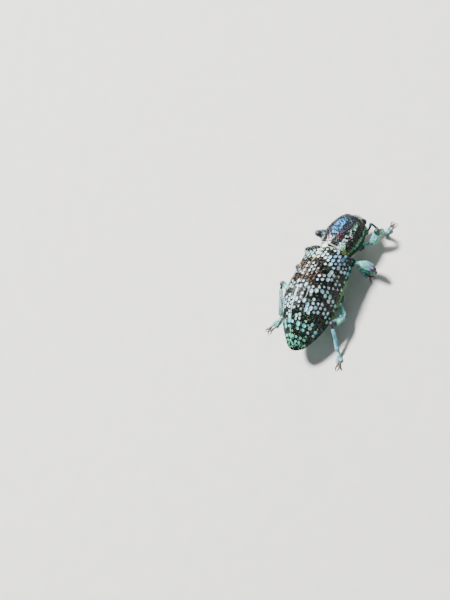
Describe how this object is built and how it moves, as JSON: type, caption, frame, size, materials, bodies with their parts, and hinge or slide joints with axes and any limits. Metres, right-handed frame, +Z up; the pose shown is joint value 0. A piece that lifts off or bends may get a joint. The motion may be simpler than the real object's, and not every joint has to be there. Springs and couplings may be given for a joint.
{
  "type": "diamond weevil",
  "caption": "Botany Bay diamond weevil standing still, life size: arched black wing cases spangled with pale aqua scales, snout held down, clubbed feelers.",
  "frame": {"origin": "middle of the box under the feet, on the floor", "axes": "+X is the beetle's left, +Y runs to its tail, +Z is up; the head looks along -Y"},
  "size_m": [0.015, 0.0222, 0.0078],
  "materials": {
    "black_shell": "glossy black grained shell",
    "spangled_shell": "black glossy shell with pits full of pale aqua metallic scales",
    "green_scales": "black shell under mint and turquoise metallic scales",
    "dark_eye": "glossy black faceted eye"
  },
  "bodies": {
    "root": {"abdomen": "green_scales", "antenna_club_left": "black_shell", "antenna_club_right": "black_shell", "antenna_funicle_left": "black_shell", "antenna_funicle_right": "black_shell", "antenna_scape_left": "black_shell", "antenna_scape_right": "black_shell", "elytron_left": "spangled_shell", "elytron_right": "spangled_shell", "eye_left": "dark_eye", "eye_right": "dark_eye", "fore_coxa_left": "black_shell", "fore_coxa_right": "black_shell", "fore_femur_left": "green_scales", "fore_femur_right": "green_scales", "fore_tarsus_left": "green_scales", "fore_tarsus_right": "green_scales", "fore_tibia_left": "green_scales", "fore_tibia_right": "green_scales", "head": "green_scales", "hind_coxa_left": "black_shell", "hind_coxa_right": "black_shell", "hind_femur_left": "green_scales", "hind_femur_right": "green_scales", "hind_tarsus_left": "green_scales", "hind_tarsus_right": "green_scales", "hind_tibia_left": "green_scales", "hind_tibia_right": "green_scales", "mid_coxa_left": "black_shell", "mid_coxa_right": "black_shell", "mid_femur_left": "green_scales", "mid_femur_right": "green_scales", "mid_tarsus_left": "green_scales", "mid_tarsus_right": "green_scales", "mid_tibia_left": "green_scales", "mid_tibia_right": "green_scales", "prothorax": "black_shell", "scutellum": "green_scales", "thorax": "green_scales"}
  },
  "joints": []
}
